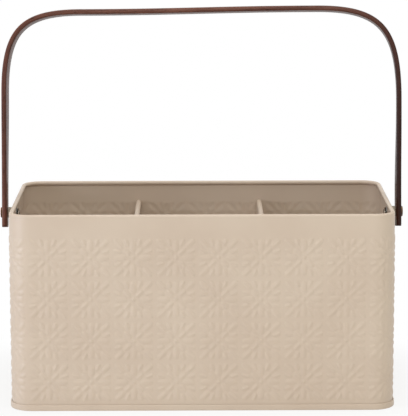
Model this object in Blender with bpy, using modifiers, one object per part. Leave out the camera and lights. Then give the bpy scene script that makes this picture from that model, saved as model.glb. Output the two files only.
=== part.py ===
"""Utility caddy: a sheet metal box with three compartments, carried by a bentwood handle.

Metres, +Z up. The origin is under the middle of the box, on the surface that it stands on.
The box faces -Y. The handle turns about an axis along X, through a screw in each side wall.
"""

import math

import bmesh
import bpy
from mathutils import Vector
from mathutils.geometry import interpolate_bezier

# Box: outside sizes, and the sheet that it is rolled from
BODY_WIDTH = 0.330
BODY_DEPTH = 0.176
BODY_HEIGHT = 0.171
CORNER_RADIUS = 0.018
WALL_SHEET = 0.0005
CORNER_STEPS = 7

# Rolled rim: the wall's top edge, curled inwards into a bead
RIM_BEAD = 0.0037
RIM_CURL = math.radians(300)
RIM_STEPS = 12

# Base pan and the seam that locks it to the wall's foot
PAN_SHEET = 0.0004
SEAM_HEIGHT = 0.0052
SEAM_BEND = 0.0005
PANEL_HEIGHT = 0.0038
FOOT_FOLD_GAP = 0.0001
FOLD_STEPS = 4

# Closing seam, up the middle of the back wall
LAP_WIDTH = 0.006
LAP_PROUD = 0.0005
LAP_MARGIN = 0.002

# Dividers, which stand a little to the left of even thirds
DIVIDER_SHEET = 0.0005
DIVIDER_DROP = 0.0173
DIVIDER_BEAD = 0.0047
DIVIDER_CURL = math.radians(300)
DIVIDER_STEPS = 10
LEFT_DIVIDER_SHIFT = -0.0032
RIGHT_DIVIDER_SHIFT = -0.0014
FLANGE_WIDTH = 0.009
FLANGE_BEND = 0.001
FLANGE_RELIEF = 0.003
BEAD_END_ROUND = 0.004
BEAD_END_STEPS = 5

# Handle strip: its outer face, with heights above the pivot axis
PIVOT_DROP = 0.0135
HANDLE_LEAN = math.radians(10)
STRIP_WIDTH = 0.020
STRIP_THICKNESS = 0.0044
STRIP_EDGE_ROUND = 0.0017
EDGE_STEPS = 3
FOOT_DROP = 0.013
FOOT_ROUND = 0.003
FOOT_STEPS = 4
LEG_FLAT = 0.012
LEFT_BEND_START = 0.106
RIGHT_BEND_START = 0.100
LEFT_BEND_REACH = 0.070
RIGHT_BEND_REACH = 0.073
LEFT_BAR_HEIGHT = 0.1794
RIGHT_BAR_HEIGHT = 0.1821
LEFT_SPREAD = -0.0003
RIGHT_SPREAD = 0.0010
LEG_TWIST = math.radians(3.5)
BEND_FULLNESS_SHARE = 0.77
LEG_FULLNESS_SHARE = 0.40
LEG_STEPS = 6
BEND_STEPS = 20
BAR_STEPS = 9

# Pivot hardware, the same on both sides
SPACER_LENGTH = 0.0066
SPACER_DIAMETER = 0.0095
SPACER_CHAMFER = 0.0004
SHANK_DIAMETER = 0.0040
HEAD_DIAMETER = 0.0092
HEAD_HEIGHT = 0.0014
HEAD_EDGE_ROUND = 0.0005
SOCKET_FLATS = 0.0025
SOCKET_DEPTH = 0.0012
WASHER_DIAMETER = 0.0090
WASHER_THICKNESS = 0.0008
NUT_FLATS = 0.0070
NUT_THICKNESS = 0.0022
NUT_CHAMFER = 0.0003
SHANK_TAIL = 0.0012
SHANK_TIP_CHAMFER = 0.0004
TURNED_STEPS = 28

# Shared by every joint between pieces, and by every cut
CLEARANCE = 0.0003
OVERRUN = 0.002
MERGE_DISTANCE = 0.00001
SMOOTH_ANGLE = math.radians(35)

# Worked out from the sizes above
SIDE_FACE = BODY_WIDTH / 2
END_FACE = BODY_DEPTH / 2
FOOT_FOLD_RADIUS = (WALL_SHEET + FOOT_FOLD_GAP) / 2
SEAM_PROUD = FOOT_FOLD_GAP + WALL_SHEET + CLEARANCE + PAN_SHEET
FLOOR_TOP = PANEL_HEIGHT + PAN_SHEET / 2
DIVIDER_SPACING = (BODY_WIDTH - 2 * WALL_SHEET) / 3
DIVIDER_TOP = BODY_HEIGHT - DIVIDER_DROP
DIVIDER_REACH = END_FACE - WALL_SHEET - CLEARANCE
PIVOT_HEIGHT = BODY_HEIGHT - PIVOT_DROP
STRIP_SEAT = CLEARANCE + SPACER_LENGTH + CLEARANCE
LEG_REACH = SIDE_FACE + STRIP_SEAT + STRIP_THICKNESS
HEAD_SEAT = STRIP_SEAT + STRIP_THICKNESS + CLEARANCE
WASHER_SEAT = WALL_SHEET + CLEARANCE
NUT_SEAT = WASHER_SEAT + WASHER_THICKNESS + CLEARANCE
SHANK_END = NUT_SEAT + NUT_THICKNESS + SHANK_TAIL
BORE_RADIUS = SHANK_DIAMETER / 2 + CLEARANCE


def clear_scene():
    for obj in list(bpy.data.objects):
        bpy.data.objects.remove(obj, do_unlink=True)


def new_collection(name):
    collection = bpy.data.collections.new(name)
    bpy.context.scene.collection.children.link(collection)
    return collection


def linear(level):
    """One 8 bit colour level as a linear value."""
    share = level / 255
    if share <= 0.04045:
        return share / 12.92
    return ((share + 0.055) / 1.055) ** 2.4


def finish(name, levels, roughness, metallic):
    material = bpy.data.materials.new(name)
    material.use_nodes = True
    shader = material.node_tree.nodes["Principled BSDF"]
    shader.inputs["Base Color"].default_value = [*map(linear, levels), 1]
    shader.inputs["Roughness"].default_value = roughness
    shader.inputs["Metallic"].default_value = metallic
    return material


def add_object(name, mesh, material, collection):
    obj = bpy.data.objects.new(name, mesh)
    collection.objects.link(obj)
    if material:
        mesh.materials.append(material)
    return obj


def mesh_from(name, bm):
    bmesh.ops.remove_doubles(bm, verts=bm.verts, dist=MERGE_DISTANCE)
    bmesh.ops.recalc_face_normals(bm, faces=bm.faces)
    mesh = bpy.data.meshes.new(name)
    bm.to_mesh(mesh)
    bm.free()
    mesh.shade_smooth()
    mesh.set_sharp_from_angle(angle=SMOOTH_ANGLE)
    return mesh


def thicken(obj, thickness):
    solidify = obj.modifiers.new("Sheet", "SOLIDIFY")
    solidify.thickness = thickness
    solidify.offset = 0
    solidify.use_even_offset = True


def boolean(obj, other, operation):
    modifier = obj.modifiers.new(other.name, "BOOLEAN")
    modifier.operation = operation
    modifier.solver = "EXACT"
    modifier.object = other


def helper(obj):
    """Marks a cutter, or a shape that is joined into another piece."""
    obj.hide_render = True
    obj.display_type = "WIRE"
    return obj


def follow(start, heading, moves):
    """Points along a bent sheet's middle line. A move is a length or a (radius, turn, steps) bend."""
    points = [Vector(start)]
    for move in moves:
        if isinstance(move, tuple):
            radius, turn, steps = move
            side = math.copysign(1, turn)
            centre = points[-1] + side * radius * Vector((-math.sin(heading), math.cos(heading)))
            for step in range(1, steps + 1):
                angle = heading + turn * step / steps
                points.append(centre + side * radius * Vector((math.sin(angle), -math.cos(angle))))
            heading += turn
        else:
            points.append(points[-1] + move * Vector((math.cos(heading), math.sin(heading))))
    return points


def chain(bm, corners):
    verts = [bm.verts.new(corner) for corner in corners]
    return [bm.edges.new(pair) for pair in zip(verts, verts[1:])]


def ring(bm, corners):
    verts = [bm.verts.new(corner) for corner in corners]
    return [bm.edges.new(pair) for pair in zip(verts, verts[1:] + verts[:1])]


def rolled_round(profile):
    """Carries an (out, up) profile round the box, along each wall and round each corner."""
    bm = bmesh.new()
    half_front = SIDE_FACE - CORNER_RADIUS
    half_side = END_FACE - CORNER_RADIUS
    edges = chain(bm, [(-half_front, -END_FACE - out, up) for out, up in profile])
    walls = (
        ((2 * half_front, 0, 0), (half_front, -half_side, 0)),
        ((0, 2 * half_side, 0), (half_front, half_side, 0)),
        ((-2 * half_front, 0, 0), (-half_front, half_side, 0)),
        ((0, -2 * half_side, 0), (-half_front, -half_side, 0)),
    )
    for run, corner in walls:
        grown = bmesh.ops.extrude_edge_only(bm, edges=edges)["geom"]
        moved = [item for item in grown if isinstance(item, bmesh.types.BMVert)]
        bmesh.ops.translate(bm, verts=moved, vec=run)
        edges = [item for item in grown if isinstance(item, bmesh.types.BMEdge)]
        edges = [edge for edge in edges if all(vert in moved for vert in edge.verts)]
        spun = bmesh.ops.spin(
            bm, geom=edges + moved, cent=corner, axis=(0, 0, 1),
            angle=math.radians(90), steps=CORNER_STEPS, use_duplicate=False,
        )
        edges = [item for item in spun["geom_last"] if isinstance(item, bmesh.types.BMEdge)]
    bmesh.ops.remove_doubles(bm, verts=bm.verts, dist=MERGE_DISTANCE)
    return bm


def wall_profile():
    """The wall from the tip of its folded foot, up to the end of the rim's curl."""
    hook_top = SEAM_HEIGHT - PAN_SHEET - CLEARANCE
    fold_centre = PAN_SHEET + CLEARANCE + WALL_SHEET / 2 + FOOT_FOLD_RADIUS
    curl_centre = BODY_HEIGHT - RIM_BEAD / 2
    hook_out = -WALL_SHEET / 2 + 2 * FOOT_FOLD_RADIUS
    return follow((hook_out, hook_top), math.radians(-90), [
        hook_top - fold_centre,
        (FOOT_FOLD_RADIUS, math.radians(-180), FOLD_STEPS),
        curl_centre - fold_centre,
        ((RIM_BEAD - WALL_SHEET) / 2, RIM_CURL, RIM_STEPS),
    ])


def pan_profile():
    """The base pan from the lip of its seam, round the wall's foot, and up inside the wall to the floor."""
    lip_up = SEAM_HEIGHT - PAN_SHEET / 2
    outer = SEAM_PROUD - PAN_SHEET / 2
    inner = -(WALL_SHEET + CLEARANCE + PAN_SHEET / 2)
    down_turn = (SEAM_BEND, math.radians(-90), FOLD_STEPS)
    return follow((CLEARANCE, lip_up), 0, [
        outer - SEAM_BEND - CLEARANCE,
        down_turn,
        lip_up - PAN_SHEET / 2 - 2 * SEAM_BEND,
        down_turn,
        outer - inner - 2 * SEAM_BEND,
        down_turn,
        PANEL_HEIGHT - PAN_SHEET / 2 - 2 * SEAM_BEND,
        (SEAM_BEND, math.radians(90), FOLD_STEPS),
    ])


def box_shape(name, low, high, collection):
    """A plain block between two corners, kept as a helper."""
    bm = bmesh.new()
    bmesh.ops.create_cube(bm, size=1)
    size = Vector(high) - Vector(low)
    bmesh.ops.scale(bm, verts=bm.verts, vec=size)
    bmesh.ops.translate(bm, verts=bm.verts, vec=Vector(low) + size / 2)
    return helper(add_object(name, mesh_from(name, bm), None, collection))


def pivot_drill(cutters):
    """One drill along the pivot axis, through both side walls and both legs of the handle."""
    bm = bmesh.new()
    length = 2 * (LEG_REACH + OVERRUN)
    bmesh.ops.create_cone(bm, cap_ends=True, segments=TURNED_STEPS, radius1=BORE_RADIUS,
                          radius2=BORE_RADIUS, depth=length)
    drill = helper(add_object("pivot_drill", mesh_from("pivot_drill", bm), None, cutters))
    drill.location = (0, 0, PIVOT_HEIGHT)
    drill.rotation_euler = (0, math.radians(90), 0)
    return drill


def body_wall(parts, cutters, drill, material):
    """One sheet round the box, its foot folded up, its top rolled in, and its ends lapped at the back."""
    mesh = mesh_from("body_wall", rolled_round(wall_profile()))
    wall = add_object("body_wall", mesh, material, parts)
    thicken(wall, WALL_SHEET)
    lap_low = SEAM_HEIGHT + LAP_MARGIN
    lap_high = BODY_HEIGHT - RIM_BEAD - LAP_MARGIN
    lap = box_shape("closing_lap", (-LAP_WIDTH / 2, END_FACE - WALL_SHEET / 2, lap_low),
                    (LAP_WIDTH / 2, END_FACE + LAP_PROUD, lap_high), cutters)
    boolean(wall, lap, "UNION")
    boolean(wall, drill, "DIFFERENCE")
    return wall


def base_pan(parts, material):
    """The floor, whose edge drops inside the wall and rolls up round the wall's folded foot."""
    bm = rolled_round(pan_profile())
    floor_edge = [edge for edge in bm.edges if edge.is_boundary
                  and all(abs(vert.co.z - PANEL_HEIGHT) < MERGE_DISTANCE for vert in edge.verts)]
    bmesh.ops.edgeloop_fill(bm, edges=floor_edge)
    pan = add_object("base_pan", mesh_from("base_pan", bm), material, parts)
    thicken(pan, PAN_SHEET)
    return pan


def divider_profile():
    """A divider seen from the front, from its foot flange up to the end of its rolled top."""
    foot_up = FLOOR_TOP + CLEARANCE + DIVIDER_SHEET / 2
    curl_radius = (DIVIDER_BEAD - DIVIDER_SHEET) / 2
    curl_centre = DIVIDER_TOP - DIVIDER_BEAD / 2
    start = (FLANGE_WIDTH - curl_radius, foot_up)
    return follow(start, math.radians(180), [
        FLANGE_WIDTH - FLANGE_BEND,
        (FLANGE_BEND, math.radians(-90), FOLD_STEPS),
        curl_centre - foot_up - FLANGE_BEND,
        (curl_radius, -DIVIDER_CURL, DIVIDER_STEPS),
    ])


def divider_stations():
    """(along the depth, drop of the rolled top) from the front end to the back end."""
    reach = DIVIDER_REACH - DIVIDER_SHEET / 2
    front = []
    for step in range(BEAD_END_STEPS + 1):
        angle = math.radians(90) * step / BEAD_END_STEPS
        inset = BEAD_END_ROUND * (1 - math.cos(angle))
        front.append((inset - reach, BEAD_END_ROUND * (1 - math.sin(angle))))
    return front + [(-along, drop) for along, drop in reversed(front)]


def divider(name, across, parts, cutters, material):
    """A sheet with a rolled top, a foot flange, and a flange against the front wall and the back wall."""
    bm = bmesh.new()
    profile = divider_profile()
    top_start = DIVIDER_TOP - DIVIDER_BEAD
    stations = divider_stations()
    rows = []
    for along, drop in stations:
        rows.append([(x, along, z - drop if z > top_start else z) for x, z in profile])
    edges = chain(bm, rows[0])
    for row in rows[1:]:
        next_edges = chain(bm, row)
        bmesh.ops.bridge_loops(bm, edges=edges + next_edges)
        edges = next_edges
    sheet = add_object(name, mesh_from(name, bm), material, parts)
    sheet.location = (across, 0, 0)
    thicken(sheet, DIVIDER_SHEET)
    web_middle = (DIVIDER_SHEET - DIVIDER_BEAD) / 2
    flange_low = FLOOR_TOP + CLEARANCE + FLANGE_RELIEF
    flange_high = DIVIDER_TOP - DIVIDER_BEAD - BEAD_END_ROUND - FLANGE_RELIEF
    for end, near in (("front", -DIVIDER_REACH), ("back", DIVIDER_REACH - DIVIDER_SHEET)):
        flange = box_shape(f"{name}_{end}_flange", (web_middle, near, flange_low),
                           (web_middle + FLANGE_WIDTH, near + DIVIDER_SHEET, flange_high), cutters)
        flange.location = sheet.location
        boolean(sheet, flange, "UNION")
    return sheet


def handle_spans():
    """The curves of the handle's outer face, seen from the front, from the left leg to the right one."""
    left_leg = Vector((-LEG_REACH, LEG_FLAT))
    left_bend = Vector((-LEG_REACH - LEFT_SPREAD, LEFT_BEND_START))
    left_bar = Vector((-LEG_REACH + LEFT_BEND_REACH, LEFT_BAR_HEIGHT))
    right_bar = Vector((LEG_REACH - RIGHT_BEND_REACH, RIGHT_BAR_HEIGHT))
    right_bend = Vector((LEG_REACH + RIGHT_SPREAD, RIGHT_BEND_START))
    right_leg = Vector((LEG_REACH, LEG_FLAT))
    up = Vector((0, 1))
    across = Vector((1, 0))
    return (
        (left_leg, up, left_bend, up, LEG_FULLNESS_SHARE, LEG_STEPS, 0, -LEG_TWIST),
        (left_bend, up, left_bar, across, BEND_FULLNESS_SHARE, BEND_STEPS, -LEG_TWIST, 0),
        (left_bar, across, right_bar, across, LEG_FULLNESS_SHARE, BAR_STEPS, 0, 0),
        (right_bar, across, right_bend, -up, BEND_FULLNESS_SHARE, BEND_STEPS, 0, LEG_TWIST),
        (right_bend, -up, right_leg, -up, LEG_FULLNESS_SHARE, LEG_STEPS, LEG_TWIST, 0),
    )


def handle_stations():
    """(point on the outer face, half of the width, twist) along the strip, from foot to foot."""
    foot = []
    for step in range(FOOT_STEPS + 1):
        angle = math.radians(90) * step / FOOT_STEPS
        inset = FOOT_ROUND * (1 - math.cos(angle))
        half_width = STRIP_WIDTH / 2 - FOOT_ROUND * (1 - math.sin(angle))
        foot.append((inset - FOOT_DROP, half_width))
    stations = [(Vector((-LEG_REACH, up)), half_width, 0) for up, half_width in foot]
    for start, leaving, end, arriving, fullness, steps, twist, last_twist in handle_spans():
        span = end - start
        first_handle = start + leaving * fullness * abs(span.dot(leaving))
        last_handle = end - arriving * fullness * abs(span.dot(arriving))
        points = interpolate_bezier(start, first_handle, last_handle, end, steps + 1)
        for step, point in enumerate(points[:-1]):
            share = step / steps
            eased = share * share * (3 - 2 * share)
            stations.append((Vector(point[:2]), STRIP_WIDTH / 2, twist + (last_twist - twist) * eased))
    stations.append((Vector((LEG_REACH, LEG_FLAT)), STRIP_WIDTH / 2, 0))
    stations += [(Vector((LEG_REACH, up)), half_width, 0) for up, half_width in reversed(foot)]
    return stations


def strip_section(half_width):
    """A rounded rectangle: (to the back, outwards) from the middle of the strip."""
    half_thickness = STRIP_THICKNESS / 2
    corners = (
        (half_width - STRIP_EDGE_ROUND, half_thickness - STRIP_EDGE_ROUND, 0),
        (STRIP_EDGE_ROUND - half_width, half_thickness - STRIP_EDGE_ROUND, 90),
        (STRIP_EDGE_ROUND - half_width, STRIP_EDGE_ROUND - half_thickness, 180),
        (half_width - STRIP_EDGE_ROUND, STRIP_EDGE_ROUND - half_thickness, 270),
    )
    section = []
    for back, out, start in corners:
        for step in range(EDGE_STEPS + 1):
            angle = math.radians(start + 90 * step / EDGE_STEPS)
            rounded = STRIP_EDGE_ROUND * Vector((math.cos(angle), math.sin(angle)))
            section.append((back + rounded.x, out + rounded.y))
    return section


def strip_ring(stations, index):
    """The strip's section at one station, set square to the strip and turned by the twist there."""
    before = stations[max(index - 1, 0)][0]
    after = stations[min(index + 1, len(stations) - 1)][0]
    point, half_width, twist = stations[index]
    along = (after - before).normalized()
    tangent = Vector((along.x, 0, along.y))
    outwards = Vector((-along.y, 0, along.x))
    backwards = Vector((0, 1, 0))
    turned_out = outwards * math.cos(twist) + tangent.cross(outwards) * math.sin(twist)
    turned_back = backwards * math.cos(twist) + tangent.cross(backwards) * math.sin(twist)
    middle = Vector((point.x, 0, point.y)) - outwards * STRIP_THICKNESS / 2
    return [middle + turned_back * back + turned_out * out for back, out in strip_section(half_width)]


def handle_strip(parts, axle, drill, material):
    """A wooden lath bent over the box, with a foot below each pivot screw."""
    bm = bmesh.new()
    stations = handle_stations()
    loops = [ring(bm, strip_ring(stations, index)) for index in range(len(stations))]
    for near, far in zip(loops, loops[1:]):
        bmesh.ops.bridge_loops(bm, edges=near + far)
    for loop in (loops[0], loops[-1]):
        bmesh.ops.edgeloop_fill(bm, edges=loop)
    strip = add_object("handle_strip", mesh_from("handle_strip", bm), material, parts)
    strip.parent = axle
    boolean(strip, drill, "DIFFERENCE")
    return strip


def turned(name, profile, closed, material, collection):
    """A turned piece: a profile of (radius, along) points carried round the piece's own Z axis."""
    bm = bmesh.new()
    corners = [(radius, 0, along) for radius, along in profile]
    if closed:
        corners.append(corners[0])
    chain(bm, corners)
    bmesh.ops.remove_doubles(bm, verts=bm.verts, dist=MERGE_DISTANCE)
    mesh = bpy.data.meshes.new(name)
    bm.to_mesh(mesh)
    bm.free()
    piece = add_object(name, mesh, material, collection)
    screw = piece.modifiers.new("Turn", "SCREW")
    screw.steps = TURNED_STEPS
    screw.render_steps = TURNED_STEPS
    screw.use_merge_vertices = True
    screw.merge_threshold = MERGE_DISTANCE
    screw.use_smooth_shade = True
    return piece


def tube_profile(inner_radius, outer_radius, low, high, chamfer):
    """A closed tube section, down its outer side and up its bore."""
    return [
        (inner_radius, high),
        (outer_radius - chamfer, high),
        (outer_radius, high - chamfer),
        (outer_radius, low + chamfer),
        (outer_radius - chamfer, low),
        (inner_radius, low),
    ]


def at_pivot(piece, side):
    """Stands a piece on the side wall's outer face at the pivot axis, with its own Z axis outwards."""
    piece.location = (side * SIDE_FACE, 0, PIVOT_HEIGHT)
    piece.rotation_euler = (0, side * math.radians(90), 0)


def hexagon(name, flats, low, high, collection):
    bm = bmesh.new()
    radius = flats / 2 / math.cos(math.radians(30))
    bmesh.ops.create_cone(bm, cap_ends=True, segments=6, radius1=radius, radius2=radius, depth=high - low)
    bmesh.ops.translate(bm, verts=bm.verts, vec=(0, 0, (low + high) / 2))
    return add_object(name, mesh_from(name, bm), None, collection)


def pivot_screw(name, side, parts, cutters, material):
    """A low round head with a hexagon socket, and a shank that reaches through to the nut."""
    head = HEAD_DIAMETER / 2
    shank = SHANK_DIAMETER / 2
    top = HEAD_SEAT + HEAD_HEIGHT
    profile = [(0, top)]
    for step in range(FOLD_STEPS + 1):
        angle = math.radians(90) * (1 - step / FOLD_STEPS)
        inset = HEAD_EDGE_ROUND * (1 - math.cos(angle))
        drop = HEAD_EDGE_ROUND * (1 - math.sin(angle))
        profile.append((head - inset, top - drop))
    profile += [
        (head, HEAD_SEAT),
        (shank, HEAD_SEAT),
        (shank, SHANK_TIP_CHAMFER - SHANK_END),
        (shank - SHANK_TIP_CHAMFER, -SHANK_END),
        (0, -SHANK_END),
    ]
    screw = turned(name, profile, False, material, parts)
    at_pivot(screw, side)
    socket = helper(hexagon(f"{name}_socket", SOCKET_FLATS, top - SOCKET_DEPTH, top + OVERRUN, cutters))
    at_pivot(socket, side)
    boolean(screw, socket, "DIFFERENCE")
    return screw


def pivot_nut(name, side, parts, cutters, material):
    """A thin hexagon nut inside the box."""
    nut = hexagon(name, NUT_FLATS, -NUT_SEAT - NUT_THICKNESS, -NUT_SEAT, parts)
    nut.data.materials.append(material)
    at_pivot(nut, side)
    bevel = nut.modifiers.new("Chamfer", "BEVEL")
    bevel.width = NUT_CHAMFER
    bevel.segments = 1
    bore_end = -SHANK_END - OVERRUN
    bore_profile = [(0, OVERRUN), (BORE_RADIUS, OVERRUN), (BORE_RADIUS, bore_end), (0, bore_end)]
    bore = helper(turned(f"{name}_bore", bore_profile, False, None, cutters))
    at_pivot(bore, side)
    boolean(nut, bore, "DIFFERENCE")
    return nut


def pivot_set(suffix, side, parts, cutters, finishes):
    """What carries one leg of the handle: spacer, screw, washer and nut."""
    spacer_high = CLEARANCE + SPACER_LENGTH
    spacer_profile = tube_profile(BORE_RADIUS, SPACER_DIAMETER / 2, CLEARANCE, spacer_high, SPACER_CHAMFER)
    spacer = turned(f"spacer_{suffix}", spacer_profile, True, finishes["spacer"], parts)
    washer_low = -WASHER_SEAT - WASHER_THICKNESS
    washer_profile = tube_profile(BORE_RADIUS, WASHER_DIAMETER / 2, washer_low, -WASHER_SEAT, 0)
    washer = turned(f"washer_{suffix}", washer_profile, True, finishes["washer"], parts)
    for piece in (spacer, washer):
        at_pivot(piece, side)
    pivot_screw(f"pivot_screw_{suffix}", side, parts, cutters, finishes["screw"])
    pivot_nut(f"pivot_nut_{suffix}", side, parts, cutters, finishes["nut"])


def handle_axle(collection):
    """The pivot axis, leaning the handle back as it stands in the photograph."""
    axle = bpy.data.objects.new("handle_axle", None)
    collection.objects.link(axle)
    axle.location = (0, 0, PIVOT_HEIGHT)
    axle.rotation_euler = (-HANDLE_LEAN, 0, 0)
    return axle


def build():
    clear_scene()
    parts = new_collection("utility_caddy")
    cutters = new_collection("cutters")
    paint = finish("taupe_paint", (205, 187, 167), 0.45, 0)
    finishes = {
        "spacer": finish("spacer_paint", (170, 158, 143), 0.45, 0),
        "screw": finish("dark_bronze", (75, 54, 35), 0.40, 1),
        "washer": finish("zinc_washer", (178, 178, 174), 0.35, 1),
        "nut": finish("nickel_nut", (200, 198, 192), 0.25, 1),
    }
    drill = pivot_drill(cutters)
    body_wall(parts, cutters, drill, paint)
    base_pan(parts, paint)
    left_place = LEFT_DIVIDER_SHIFT - DIVIDER_SPACING / 2
    right_place = RIGHT_DIVIDER_SHIFT + DIVIDER_SPACING / 2
    divider("divider_left", left_place, parts, cutters, paint)
    divider("divider_right", right_place, parts, cutters, paint)
    handle_strip(parts, handle_axle(parts), drill, finish("stained_wood", (92, 58, 45), 0.35, 0))
    pivot_set("left", -1, parts, cutters, finishes)
    pivot_set("right", 1, parts, cutters, finishes)


build()
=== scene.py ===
"""Looks of the utility caddy: pressed and painted sheet metal, a bentwood handle and its pivot hardware.

Metres, +Z up, in the frame of the CAD model. The box faces -Y.
"""

import functools
import math

import bmesh
import bpy
from mathutils import Matrix, Vector
from mathutils.geometry import interpolate_bezier


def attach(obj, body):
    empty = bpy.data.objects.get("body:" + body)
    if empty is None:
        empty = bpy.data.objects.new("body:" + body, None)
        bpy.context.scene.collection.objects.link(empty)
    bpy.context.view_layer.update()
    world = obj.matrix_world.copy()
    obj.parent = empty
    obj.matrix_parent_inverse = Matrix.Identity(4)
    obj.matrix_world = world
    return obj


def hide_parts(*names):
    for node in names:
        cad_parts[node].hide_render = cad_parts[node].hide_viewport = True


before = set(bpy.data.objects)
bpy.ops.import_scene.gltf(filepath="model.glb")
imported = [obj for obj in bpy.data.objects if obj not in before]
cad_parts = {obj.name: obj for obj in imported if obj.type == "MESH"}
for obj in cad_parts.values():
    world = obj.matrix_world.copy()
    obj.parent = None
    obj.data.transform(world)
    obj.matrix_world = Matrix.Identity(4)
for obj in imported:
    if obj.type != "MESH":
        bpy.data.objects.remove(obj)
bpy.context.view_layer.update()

# Camera, as worked out from the photograph, with its lens and sensor in millimetres
CAMERA_PLACE = (-0.0068, -1.8601, 0.4986)
CAMERA_PITCH = math.radians(10.29)
CAMERA_YAW = math.radians(0.272)
CAMERA_ROLL = math.radians(-0.133)
CAMERA_LENS = 184.28
CAMERA_SENSOR = 36

# Box, with the same sizes as the solids
BODY_WIDTH = 0.330
BODY_DEPTH = 0.176
BODY_HEIGHT = 0.171
CORNER_RADIUS = 0.018
CORNER_STEPS = 14
WALL_SHEET = 0.0005
RIM_BEAD = 0.0037
RIM_CURL = math.radians(300)
RIM_STEPS = 18
WALL_FOOT = 0.0009

# Pressed lattice of sunbursts: square cells that go round the box a whole number of times
LATTICE_COLUMNS = 27
LATTICE_ROWS = 4
LATTICE_LOW = 0.0068
LATTICE_SHIFT = -0.00425
CELL_FACES = 14
OUTER_CUTS = 3
INNER_CUTS = 1
PETAL_HEIGHT = 0.00050
PETAL_MARGIN = 0.0002
PETAL_FULLNESS = 2.8
DOME_FULLNESS = 0.65
DOT_RADIUS = 0.0018
# (angle of the first petal, petals round, inner radius, outer radius, half width)
PETAL_RINGS = (
    (math.radians(45), 4, 0.0036, 0.0113, 0.0018),
    (math.radians(0), 4, 0.0054, 0.0158, 0.0026),
    (math.radians(22.5), 8, 0.0109, 0.0183, 0.0017),
    (math.radians(45), 4, 0.0122, 0.0231, 0.0022),
)
# (name, lattice columns) of each stretch of the wall, along the flat sheet
WALL_STRETCHES = (
    ("pressed_wall_front", range(-3, 3)),
    ("pressed_wall_right", range(3, 8)),
    ("pressed_wall_back_right", range(8, 13)),
    ("pressed_wall_back_left", range(13, 19)),
    ("pressed_wall_left", range(19, LATTICE_COLUMNS - 3)),
)

# Closing seam, up the middle of the back wall
LAP_WIDTH = 0.006
LAP_PROUD = 0.0005
LAP_LOW = 0.0072
LAP_HIGH = 0.1653
LAP_EDGE = 0.0003
LAP_EDGE_STEPS = 3

# Base pan and its seam
PAN_SHEET = 0.0004
SEAM_HEIGHT = 0.0052
SEAM_BEND = 0.0005
SEAM_PROUD = 0.0013
PANEL_HEIGHT = 0.0038
BEND_STEPS = 5

# Dividers
DIVIDER_SHEET = 0.0005
DIVIDER_TOP = 0.1537
DIVIDER_BEAD = 0.0047
DIVIDER_CURL = math.radians(300)
DIVIDER_STEPS = 16
LEFT_DIVIDER_SHIFT = -0.0032
RIGHT_DIVIDER_SHIFT = -0.0014
DIVIDER_SPACING = (BODY_WIDTH - 2 * WALL_SHEET) / 3
FLANGE_WIDTH = 0.009
FLANGE_BEND = 0.001
FLANGE_RELIEF = 0.003
BEAD_END_ROUND = 0.004
BEAD_END_STEPS = 8

# Handle strip: its outer face, with heights above the pivot axis
PIVOT_HEIGHT = 0.1575
HANDLE_LEAN = math.radians(10)
LEG_REACH = 0.1766
STRIP_WIDTH = 0.020
STRIP_THICKNESS = 0.0044
STRIP_EDGE_ROUND = 0.0017
EDGE_STEPS = 5
FOOT_DROP = 0.013
FOOT_ROUND = 0.003
FOOT_STEPS = 6
LEG_FLAT = 0.012
LEFT_BEND_START = 0.106
RIGHT_BEND_START = 0.100
LEFT_BEND_REACH = 0.070
RIGHT_BEND_REACH = 0.073
LEFT_BAR_HEIGHT = 0.1794
RIGHT_BAR_HEIGHT = 0.1821
LEFT_SPREAD = -0.0003
RIGHT_SPREAD = 0.0010
LEG_TWIST = math.radians(3.5)
BEND_FULLNESS_SHARE = 0.77
LEG_FULLNESS_SHARE = 0.40
LEG_STEPS = 16
CORNER_BEND_STEPS = 44
BAR_STEPS = 24
BORE_RADIUS = 0.0023
BORE_STEPS = 48

# Pivot hardware, the same on both sides
SPACER_LENGTH = 0.0066
SPACER_DIAMETER = 0.0095
SPACER_CHAMFER = 0.0004
SHANK_DIAMETER = 0.0040
THREAD_PITCH = 0.0007
THREAD_DEPTH = 0.0003
HEAD_DIAMETER = 0.0092
HEAD_HEIGHT = 0.0014
HEAD_EDGE_ROUND = 0.0005
SOCKET_FLATS = 0.0025
SOCKET_DEPTH = 0.0012
WASHER_DIAMETER = 0.0090
WASHER_THICKNESS = 0.0005
WASHER_CHAMFER = 0.0001
NUT_FLATS = 0.0070
NUT_THICKNESS = 0.0017
NUT_CHAMFER = 0.0003
SHANK_TAIL = 0.0003
SHANK_TIP_CHAMFER = 0.0002
TURNED_STEPS = 64

# Colours, in 8 bit levels
TAUPE = (207, 189, 169)
TAUPE_SHADE = (203, 184, 164)
# The spacer's colours are the body's taupe darkened: painted shade.
SPACER_TAUPE_IN_PAINTED_SHADE = (174, 164, 148)
SPACER_CLOUDS_IN_PAINTED_SHADE = (166, 156, 142)
LEFT_STAIN = (78, 43, 33)
LEFT_STAIN_PALE = (122, 80, 65)
# The right leg's colours are the stain darkened to near black: painted shade.
RIGHT_LEG_PAINTED_SHADE = (24, 7, 4)
RIGHT_LEG_PAINTED_SHADE_PALE = (48, 21, 13)
FIBRE_BROWN = (60, 34, 25)
PORE_BROWN = (30, 16, 11)
BRONZE = (92, 68, 46)
BRONZE_DULL = (58, 42, 28)
ZINC = (190, 190, 186)
ZINC_DULL = (150, 150, 146)
# The nut's colours: a painted white glint, and painted dark reflection with near-black spots.
NICKEL_PAINTED_GLINT = (240, 237, 229)
NICKEL_PAINTED_DARK_REFLECTION = (96, 90, 82)
NICKEL_PAINTED_BLACK_SPOTS = (44, 40, 36)
FLOOR_PALE = (238, 238, 236)

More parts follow.
